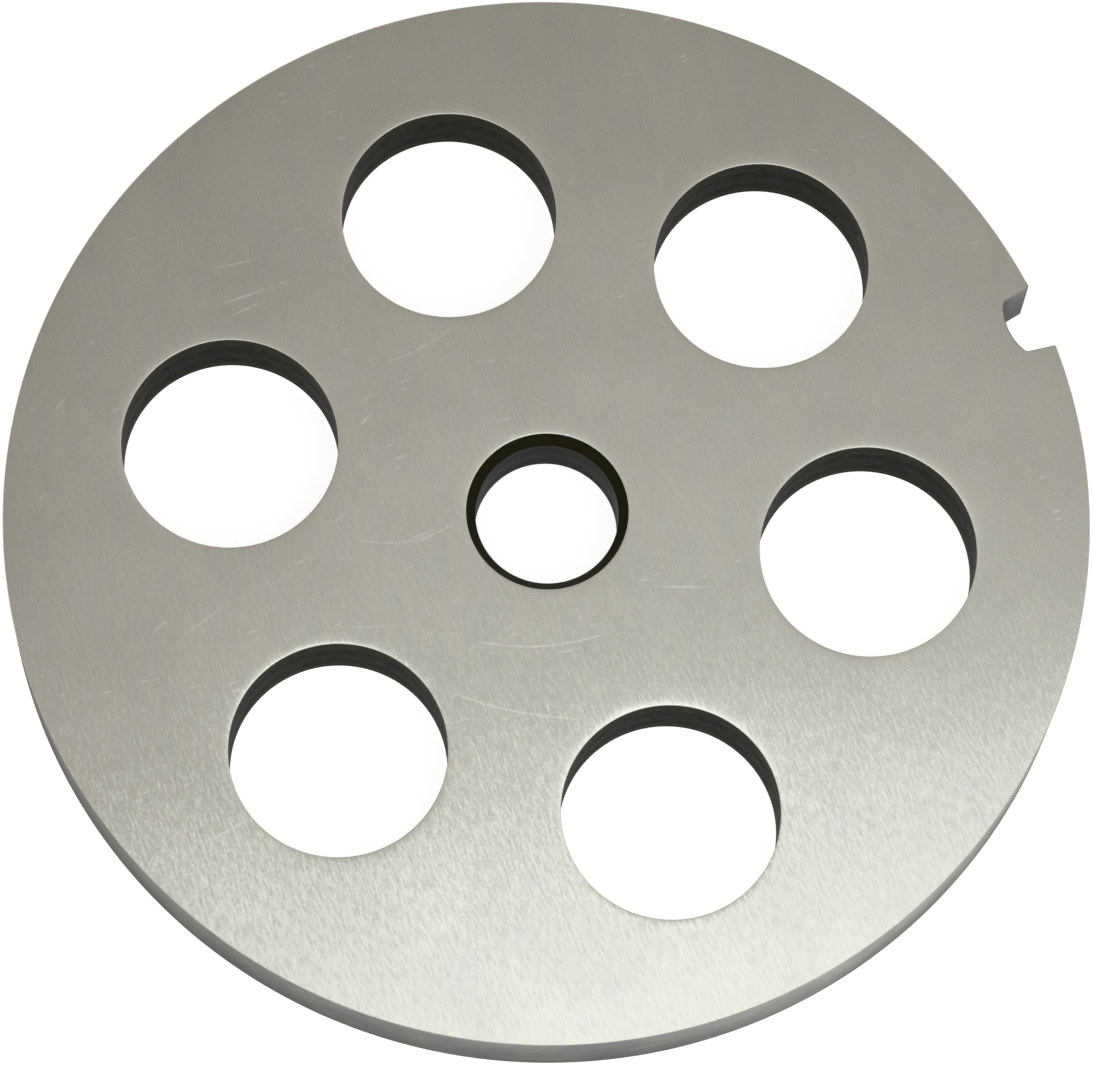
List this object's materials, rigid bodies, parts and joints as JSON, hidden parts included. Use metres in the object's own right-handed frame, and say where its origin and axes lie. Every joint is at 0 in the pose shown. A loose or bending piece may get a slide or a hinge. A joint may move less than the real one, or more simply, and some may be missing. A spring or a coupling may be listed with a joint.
{
  "type": "meat grinder plate",
  "caption": "Flat round meat grinder plate of ground steel with large feed holes, a countersunk centre bore and a key notch in the rim.",
  "frame": {"origin": "on the bore's axis at the back face", "axes": "+Z along the bore, out of the cutting face; +X through the middle of the key notch"},
  "size_m": [0.0999, 0.1, 0.008],
  "materials": {
    "ground_steel": "ground with a fine straight lay"
  },
  "bodies": {
    "root": {"grinder_plate": "ground_steel"}
  },
  "joints": []
}
